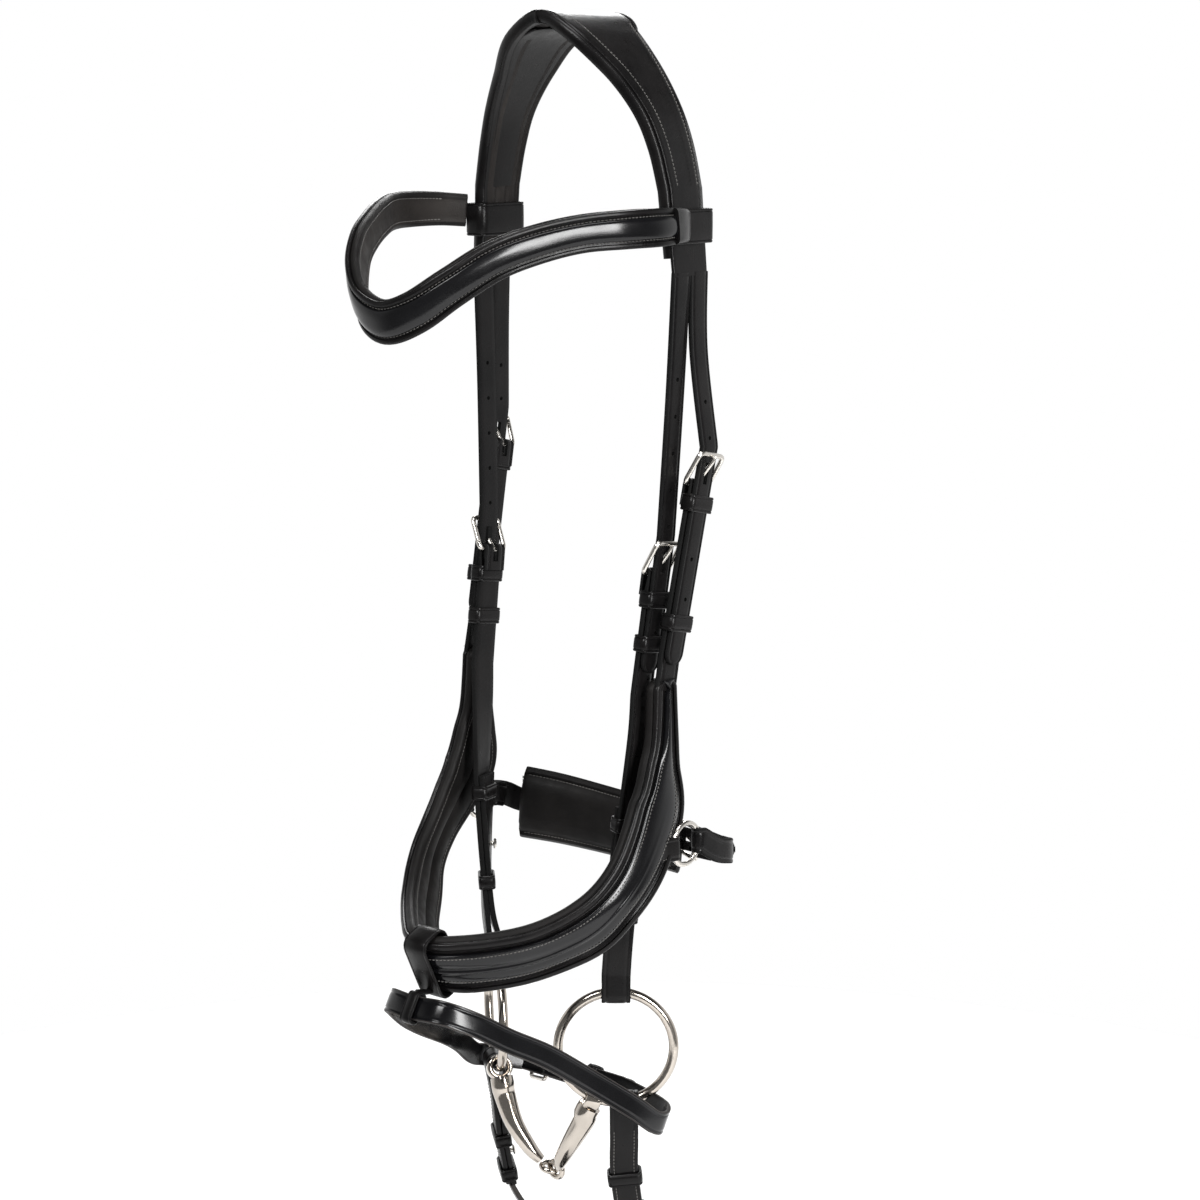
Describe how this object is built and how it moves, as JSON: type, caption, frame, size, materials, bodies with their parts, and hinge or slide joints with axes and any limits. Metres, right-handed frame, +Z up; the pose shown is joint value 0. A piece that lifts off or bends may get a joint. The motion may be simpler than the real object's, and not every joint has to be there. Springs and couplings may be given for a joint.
{
  "type": "snaffle bridle",
  "caption": "Snaffle bridle with headpiece, padded browband, cavesson noseband with flash strap, padded chin strap, loose-ring jointed bit and coiled reins",
  "frame": {"origin": "middle of the crown's underside, where the bridle rests on a poll or hangs from a hook", "axes": "+X the horse's near (left) side, -Y forward towards the nose, +Z up"},
  "size_m": [0.187, 0.2288, 0.9116],
  "materials": {
    "black_leather": "satin",
    "glazed_leather": "gloss",
    "soft_lining": "matte",
    "buckle_steel": "polished",
    "bit_steel": "polished",
    "tie_band": "matte"
  },
  "bodies": {
    "headpiece": {"headpiece_leather": "black_leather", "headpiece_billets": "black_leather", "headpiece_padding": "soft_lining", "headpiece_overlays": "glazed_leather", "noseband_leather": "black_leather", "noseband_padding": "soft_lining", "noseband_panel": "glazed_leather", "noseband_cheek_straps": "black_leather", "noseband_buckle_frames": "buckle_steel", "noseband_keepers": "black_leather", "noseband_ring_tabs": "black_leather", "cheekpieces": "black_leather", "cheekpiece_buckle_frames": "buckle_steel", "cheekpiece_keepers": "black_leather", "cheekpiece_lower_keepers": "black_leather", "cheekpiece_hook_studs": "buckle_steel", "flash_loop": "black_leather"},
    "browband": {"browband_leather": "black_leather", "browband_padding": "soft_lining", "browband_overlay": "glazed_leather", "browband_loops": "black_leather"},
    "chin_strap": {"chin_strap_near": "black_leather", "chin_strap_off": "black_leather", "chin_pad": "soft_lining", "chin_buckle_frame": "buckle_steel"},
    "flash": {"flash_strap": "black_leather", "flash_buckle_frame": "buckle_steel", "flash_keeper": "black_leather"},
    "reins": {"rein_ends": "black_leather", "rein_keepers": "black_leather", "rein_hook_studs": "buckle_steel", "rein_strap_near": "black_leather", "rein_strap_off": "black_leather", "rein_coil_near": "black_leather", "rein_coil_off": "black_leather", "rein_tie": "tie_band", "rein_buckle_fold": "black_leather", "rein_buckle_frame": "buckle_steel"},
    "noseband_tongue_near": {"noseband_tongue_near": "buckle_steel"},
    "noseband_tongue_off": {"noseband_tongue_off": "buckle_steel"},
    "cheekpiece_tongue_near": {"cheekpiece_tongue_near": "buckle_steel"},
    "cheekpiece_tongue_off": {"cheekpiece_tongue_off": "buckle_steel"},
    "chin_tongue": {"chin_tongue": "buckle_steel"},
    "flash_tongue": {"flash_tongue": "buckle_steel"},
    "rein_tongue": {"rein_tongue": "buckle_steel"},
    "noseband_runner_near": {"noseband_runner_near": "black_leather"},
    "noseband_runner_off": {"noseband_runner_off": "black_leather"},
    "cheekpiece_runner_near": {"cheekpiece_runner_near": "black_leather"},
    "cheekpiece_runner_off": {"cheekpiece_runner_off": "black_leather"},
    "bit_ring_near": {"bit_ring_near": "bit_steel"},
    "bit_ring_off": {"bit_ring_off": "bit_steel"},
    "bit_cannon_near": {"bit_cannon_near": "bit_steel"},
    "bit_cannon_off": {"bit_cannon_off": "bit_steel"},
    "noseband_ring_near": {"noseband_ring_near": "buckle_steel"},
    "noseband_ring_off": {"noseband_ring_off": "buckle_steel"}
  },
  "joints": [
    {"name": "browband_slide", "type": "slide", "parent": "headpiece", "child": "browband", "axis": [0, 0, 1], "range_m": [-0.008, 0.004]},
    {"name": "noseband_tongue_near_hinge", "type": "hinge", "parent": "headpiece", "child": "noseband_tongue_near", "pos_m": [0.0712, 0.014, -0.24239], "axis": [-0.0077, 0.9766, -0.2149], "range_deg": [0, 20]},
    {"name": "noseband_tongue_off_hinge", "type": "hinge", "parent": "headpiece", "child": "noseband_tongue_off", "pos_m": [-0.07155, 0.01615, -0.23263], "axis": [-0.0077, -0.9766, 0.2149], "range_deg": [0, 20]},
    {"name": "cheekpiece_tongue_near_hinge", "type": "hinge", "parent": "headpiece", "child": "cheekpiece_tongue_near", "pos_m": [0.059, -0.006, -0.28939], "axis": [-0.0054, 0.9885, -0.1511], "range_deg": [0, 20]},
    {"name": "cheekpiece_tongue_off_hinge", "type": "hinge", "parent": "headpiece", "child": "cheekpiece_tongue_off", "pos_m": [-0.059, -0.006, -0.28939], "axis": [-0.0054, -0.9885, 0.1511], "range_deg": [0, 20]},
    {"name": "chin_tongue_hinge", "type": "hinge", "parent": "chin_strap", "child": "chin_tongue", "pos_m": [0.048, 0.047, -0.455], "axis": [0, 0, -1], "range_deg": [0, 20]},
    {"name": "flash_tongue_hinge", "type": "hinge", "parent": "flash", "child": "flash_tongue", "pos_m": [-0.03, 0.00896, -0.59591], "axis": [0, -0.53, -0.848], "range_deg": [0, 20]},
    {"name": "rein_tongue_hinge", "type": "hinge", "parent": "reins", "child": "rein_tongue", "pos_m": [0.0095, 0.01944, -0.86525], "axis": [-1, 0, 0], "range_deg": [0, 20]},
    {"name": "noseband_runner_near_slide", "type": "slide", "parent": "headpiece", "child": "noseband_runner_near", "axis": [0.035, 0.215, 0.976], "range_m": [-0.008, 0.008]},
    {"name": "noseband_runner_off_slide", "type": "slide", "parent": "headpiece", "child": "noseband_runner_off", "axis": [-0.035, 0.215, 0.976], "range_m": [-0.008, 0.008]},
    {"name": "cheekpiece_runner_near_slide", "type": "slide", "parent": "headpiece", "child": "cheekpiece_runner_near", "axis": [0.0353, 0.1512, 0.9879], "range_m": [-0.008, 0.008]},
    {"name": "cheekpiece_runner_off_slide", "type": "slide", "parent": "headpiece", "child": "cheekpiece_runner_off", "axis": [-0.0353, 0.1512, 0.9879], "range_m": [-0.008, 0.008]},
    {"name": "bit_ring_near_spin", "type": "hinge", "parent": "headpiece", "child": "bit_ring_near", "pos_m": [0.0451, -0.0213, -0.5575], "axis": [0.6428, -0.766, 0], "continuous": true},
    {"name": "bit_ring_off_spin", "type": "hinge", "parent": "headpiece", "child": "bit_ring_off", "pos_m": [-0.0451, -0.0213, -0.5575], "axis": [-0.6428, -0.766, 0], "continuous": true},
    {"name": "bit_cannon_near_swing", "type": "hinge", "parent": "headpiece", "child": "bit_cannon_near", "pos_m": [0, -0.0294, -0.58719], "axis": [1, 0, 0], "range_deg": [-12, 12]},
    {"name": "bit_cannon_off_swing", "type": "hinge", "parent": "headpiece", "child": "bit_cannon_off", "pos_m": [0, -0.0294, -0.58719], "axis": [1, 0, 0], "range_deg": [-12, 12]},
    {"name": "chin_strap_swing", "type": "hinge", "parent": "headpiece", "child": "chin_strap", "pos_m": [0, 0.001, -0.4391], "axis": [1, 0, 0], "range_deg": [-20, 20]},
    {"name": "noseband_ring_near_turn", "type": "hinge", "parent": "headpiece", "child": "noseband_ring_near", "pos_m": [0.076, 0.001, -0.4391], "axis": [1, 0, 0], "range_deg": [-20, 20]},
    {"name": "noseband_ring_off_turn", "type": "hinge", "parent": "headpiece", "child": "noseband_ring_off", "pos_m": [-0.076, 0.001, -0.4391], "axis": [1, 0, 0], "range_deg": [-20, 20]},
    {"name": "flash_swing", "type": "hinge", "parent": "headpiece", "child": "flash", "pos_m": [0, -0.13598, -0.51314], "axis": [1, 0, 0], "range_deg": [-4, 1.5]},
    {"name": "reins_swing", "type": "hinge", "parent": "headpiece", "child": "reins", "pos_m": [0, -0.01841, -0.58944], "axis": [1, 0, 0], "range_deg": [-8, 8]}
  ],
  "couplings": [
    {"joint": "bit_cannon_off_swing", "follows": "bit_cannon_near_swing", "ratio": 1},
    {"joint": "noseband_ring_near_turn", "follows": "chin_strap_swing", "ratio": 1},
    {"joint": "noseband_ring_off_turn", "follows": "chin_strap_swing", "ratio": 1}
  ]
}
